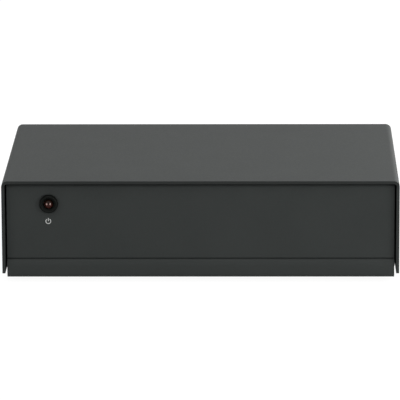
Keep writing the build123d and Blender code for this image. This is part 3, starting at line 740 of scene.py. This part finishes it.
# Power jack's pin, riveted at its root.
pin = [(0, -14.6), (1.3, -14.6), (1.3, -9.5), (1.0, -9.5), (1.0, -1.7), (0.6, -1.3), (0, -1.3)]
pin = rounded(pin, {1: 0.2, 2: 0.08, 4: 0.35, 5: 0.3}, 5)
bm = lathed(pin, look_along("+Y", (45.1, REAR_PANEL_Y, 15.9)), 48)
add_block(bm, (44.1, 21.95, LEAD_ENDS), (46.1, 22.55, 15.2), 0.1)
stand_in("power_jack_pin", bm)

# Ground terminal: a threaded stud, a hex nut, a washer and a knurled thumb nut. The heights
# are from the rear panel's inner face.
terminal = look_along("+Y", (-9.2, REAR_PANEL_Y, 16.4))
PITCH, ROOT, CREST = 0.7, 1.60, 1.98
NUT_ROOM = 0.06  # how much wider a nut's thread is than the stud's
NUT_HALF_WIDTH, NUT_BOTTOM, NUT_TOP = 3.5, 1.0, 4.0
head = [(0, -2.9), (3.1, -2.9), (3.5, -2.5), (3.5, -0.5), (CREST, -0.5)]
stud = rounded(head, {1: 0.2, 2: 0.2, 3: 0.08}) + [(CREST, -0.1)]
stud += thread(ROOT, CREST, PITCH, 0.1, 12.55) + [(1.58, 12.7), (1.3, 13.0), (0, 13.0)]
stand_in("ground_stud", lathed(stud, terminal, 64))


def hexagon(height, angle):
    """A nut's flats, with the curved bevels that end them at its top and bottom."""
    flat = NUT_HALF_WIDTH / math.cos((angle + TAU / 12) % (TAU / 6) - TAU / 12)
    return min(flat, 3.42 + (NUT_TOP - height) * 1.75, 3.55 + (height - NUT_BOTTOM) * 3.0)


def inner_thread(start, end):
    """A nut's thread, in step with the stud's."""
    return thread(ROOT + NUT_ROOM + 0.01, CREST + NUT_ROOM, PITCH, start, end)


ring_heights = (NUT_BOTTOM, 1.06, 1.12, 1.18, 3.62, 3.68, 3.74, 3.80, 3.86, 3.92, NUT_TOP)
nut = [(CREST + NUT_ROOM, NUT_BOTTOM)]
nut += [(NUT_HALF_WIDTH, z, hexagon) for z in ring_heights] + [(2.3, NUT_TOP)]
stand_in("ground_nut", lathed(nut + inner_thread(3.8, 1.05), terminal, 96))

washer = [(2.08, 4.1), (4.5, 4.1), (4.5, 4.9), (2.08, 4.9)]
washer = rounded(washer, {0: 0.06, 1: 0.18, 2: 0.18, 3: 0.06})
stand_in("ground_washer", lathed(washer, terminal, 96))

RIDGES, RIM_RADIUS = 34, 5.0


def knurl(height, angle):
    """Crossed grooves in the thumb nut's rim, that run out before its two bevels."""
    across, along = angle * RIDGES / TAU, height * RIDGES / (TAU * RIM_RADIUS)
    waves = [abs(2 * ((across + sign * along) % 1) - 1) for sign in (1, -1)]
    edge = min(1, (height - 6.85) / 0.25, (10.55 - height) / 0.25)
    return RIM_RADIUS - 0.24 * max(0, edge) * (1 - min(1, 1.6 * min(waves)))


thumb_nut = rounded([(2.45, 5.0), (3.7, 5.0), (3.7, 6.4), (4.5, 6.4)], {1: 0.15, 2: 0.15, 3: 0.1})
thumb_nut += [(RIM_RADIUS, 6.9 + 3.6 * k / 40, knurl) for k in range(41)]
thumb_nut += rounded([(RIM_RADIUS, 10.6), (4.5, 11.0), (2.5, 11.0)], {1: 0.12})
thumb_nut += inner_thread(10.6, 5.35)
stand_in("ground_thumb_nut", lathed(thumb_nut, terminal, RIDGES * 8), 40)


# ---- Parts on the board ----
def mirrored(half):
    """A whole outline about its middle, from the half that starts at the axis."""
    return half + [(radius, -height) for radius, height in reversed(half)]


def add_axial(bm, outline, low, high):
    """Revolves an outline about the line along X through the middle of a box."""
    add_lathe(bm, outline, look_along("+X", (low + high) / 2), 48)


def band(radius, depth, start, end):
    """The outline of a painted ring round an axial part."""
    return [(radius - depth, start), (radius, start), (radius, end), (radius - depth, end)]


# Electrolytic capacitors: a sleeve crimped near its foot, and a vented top.
can_sleeves, can_tops = bmesh.new(), bmesh.new()
for low, high in boxes_of("electrolytic_capacitors"):
    radius, height = (high.x - low.x) / 2, high.z - low.z
    place = on_middle(low, high, low.z)
    sleeve = [
        (0, 0), (radius, 0), (radius, 1.0), (radius - 0.22, 1.35), (radius, 1.7), (radius, height),
        (radius - 0.7, height), (radius - 0.7, height - 0.3), (0, height - 0.3),
    ]
    sleeve = rounded(sleeve, {1: 0.3, 2: 0.2, 3: 0.2, 4: 0.2, 5: 0.35, 6: 0.15})
    add_lathe(can_sleeves, sleeve, place, 64)
    disc_low, disc_high, disc_radius = height - 0.29, height - 0.1, radius - 0.72
    disc = turned([(0, disc_low), (disc_radius, disc_low), (disc_radius, disc_high), (0, disc_high)])
    vents = []
    for across, along in ((0.12, radius * 0.6), (radius * 0.6, 0.12)):
        vent = bmesh.new()
        add_block(vent, (-across, -along, height - 0.16), (across, along, height))
        vents.append(raw_mesh(vent))
    add_copy(can_tops, cut_away(disc, vents), place)
stand_in("electrolytic_capacitors", can_sleeves)
add_piece("can_tops", mesh_from(can_tops, "can_tops"), bright_aluminium)

# Resistors: dog-bone bodies with painted bands.
resistor_bodies = bmesh.new()
bands = {"brown": bmesh.new(), "black": bmesh.new(), "red": bmesh.new()}
band_places = ((-2.35, "brown"), (-0.95, "black"), (0.05, "red"), (2.35, "brown"))
for low, high in boxes_of("resistors"):
    half, radius = (high.x - low.x) / 2, (high.z - low.z) / 2
    bone = mirrored([
        (0, -half), (radius * 0.55, -half), (radius * 0.90, -half + 0.22),
        (radius, -half + 0.60), (radius, -half + 1.15), (radius * 0.86, -half + 1.65),
        (radius * 0.84, -half / 4),
    ])
    add_axial(resistor_bodies, bone, low, high)
    for x, colour in band_places:
        on_thick_end = abs(x) > 2
        outside = radius * (1.015 if on_thick_end else 0.87)
        add_axial(bands[colour], band(outside, 0.15, x - 0.25, x + 0.25), low, high)
stand_in("resistors", resistor_bodies)
for colour, rings in bands.items():
    name = f"resistor_bands_{colour}"
    add_piece(name, mesh_from(rings, name), band_paints[colour])

# The supply diode: a rounded body with a pale band at its cathode.
diode_bodies, diode_bands = bmesh.new(), bmesh.new()
for low, high in boxes_of("supply_diode"):
    half, radius = (high.x - low.x) / 2, (high.z - low.z) / 2
    outline = [(0, -half), (radius, -half), (radius, half), (0, half)]
    add_axial(diode_bodies, rounded(outline, {1: 0.25, 2: 0.25}), low, high)
    add_axial(diode_bands, band(radius + 0.01, 0.21, half - 1.25, half - 0.6), low, high)
stand_in("supply_diode", diode_bodies)
add_piece("diode_band", mesh_from(diode_bands, "diode_band"), ink)

# Solder joints under the board, one round each lead and tail.
JOINT_RADIUS = 0.95
fillet = [
    (0, BOARD_UNDERSIDE), (JOINT_RADIUS, BOARD_UNDERSIDE), (0.82, 7.62), (0.55, 7.25),
    (0.40, 6.85), (0.30, 6.72), (0, 6.70),
]
joint = turned(fillet, 24)
soldered = [
    "lamp_leads", "op_amp_leads", "resistor_leads", "diode_leads", "regulator_leads",
    "power_jack_pin", "power_jack_spring", "ground_lug",
]
soldered += [f"{jack}_{part}" for jack in JACKS for part in ("shell", "contact")]
joint_places = []
for name in soldered:
    for points in solids_of(name):
        bottom = min(p.z for p in points)
        low, high = corners([p for p in points if p.z < bottom + 0.05])
        stretch = [((high[k] - low[k]) / 2 + 0.6) / JOINT_RADIUS for k in (0, 1)]
        joint_places.append(on_middle(low, high, 0) @ Matrix.Diagonal((*stretch, 1, 1)))
joints_mesh = mesh_from(copies(joint, joint_places), "solder_joints")
add_piece("solder_joints", joints_mesh, tin)


# ---- Camera ----
def place_camera():
    """The front, from a little above and on a long lens."""
    data = bpy.data.cameras.new("camera")
    camera = bpy.data.objects.new("camera", data)
    bpy.context.scene.collection.objects.link(camera)
    bpy.context.scene.camera = camera
    pitch, yaw, roll = math.radians(13.562), math.radians(-0.949), math.radians(-0.2506)
    level_part = math.cos(pitch)
    ahead = Vector((math.sin(yaw) * level_part, math.cos(yaw) * level_part, -math.sin(pitch)))
    level = Vector((math.cos(yaw), -math.sin(yaw), 0))
    upright = level.cross(ahead)
    right = math.cos(roll) * level + math.sin(roll) * upright
    up = -math.sin(roll) * level + math.cos(roll) * upright
    turn = Matrix((right, up, -ahead)).transposed()
    camera.matrix_world = Matrix.Translation((0.020476, -1.29151, 0.32851)) @ turn.to_4x4()
    data.sensor_width = 36
    image_pixels, focal_pixels = 400, 3817.8
    data.lens = focal_pixels / image_pixels * data.sensor_width
    data.clip_start, data.clip_end = 0.1, 20


# ---- Light, floor and background ----
def make_world(strength):
    """Even light from all round, that is seen as white."""
    world = bpy.data.worlds.new("studio")
    bpy.context.scene.world = world
    n = Nodes(world)
    level = n.between(n.ray_is_seen(), strength, 1.0, 0, 1)
    background = n.add("ShaderNodeBackground", {"Color": grey(1), "Strength": level})
    n.add("ShaderNodeOutputWorld", {"Surface": background.outputs[0]})


def make_floor():
    """A floor that lights the object as plain white card, and is seen as white with a shadow."""
    bm = bmesh.new()
    bmesh.ops.create_grid(bm, x_segments=1, y_segments=1, size=4000)
    floor = bpy.data.objects.new("floor", mesh_from(bm, "floor"))
    bpy.context.scene.collection.objects.link(floor)
    n = Nodes(bpy.data.materials.new("floor_white"))
    card = n.add("ShaderNodeBsdfDiffuse", {"Color": grey(0.80)})
    shadowed = n.add("ShaderNodeBsdfDiffuse", {"Color": grey(0.12)})
    glow = n.add("ShaderNodeEmission", {"Strength": 0.945})
    seen = n.add("ShaderNodeAddShader", {0: shadowed.outputs[0], 1: glow.outputs[0]})
    inputs = {0: n.ray_is_seen(), 1: card.outputs[0], 2: seen.outputs[0]}
    mix = n.add("ShaderNodeMixShader", inputs)
    n.add("ShaderNodeOutputMaterial", {"Surface": mix.outputs[0]})
    floor.data.materials.append(n.owner)


def add_softbox(name, place, size, power):
    """A rectangular lamp that faces the object."""
    data = bpy.data.lights.new(name, "AREA")
    data.shape = "RECTANGLE"
    data.size, data.size_y = size
    data.energy = power
    lamp = bpy.data.objects.new(name, data)
    bpy.context.scene.collection.objects.link(lamp)
    lamp.location = place
    lamp.rotation_mode = "QUATERNION"
    toward_object = Vector((0, 0, 0.015)) - Vector(place)
    lamp.rotation_quaternion = toward_object.to_track_quat("-Z", "Y")
    lamp.visible_camera = False


place_camera()
make_world(0.45)
make_floor()
add_softbox("overhead", (0.0, -0.25, 0.50), (0.8, 0.4), 1.15)
add_softbox("behind", (0.0, 1.1, 1.1), (1.4, 0.8), 2.1)
add_softbox("behind_right", (1.1, 1.3, 0.6), (0.8, 0.8), 2.7)
add_softbox("near_right", (0.28, 0.22, 0.20), (0.25, 0.25), 0.85)
add_softbox("near_front", (0.28, -0.28, 0.03), (0.2, 0.2), 0.40)
add_softbox("front_left", (-1.15, -0.9, 0.35), (0.30, 0.30), 2.5)
add_softbox("front_right", (1.15, -0.9, 0.35), (0.30, 0.30), 2.7)
bpy.context.scene.view_settings.view_transform = "Standard"
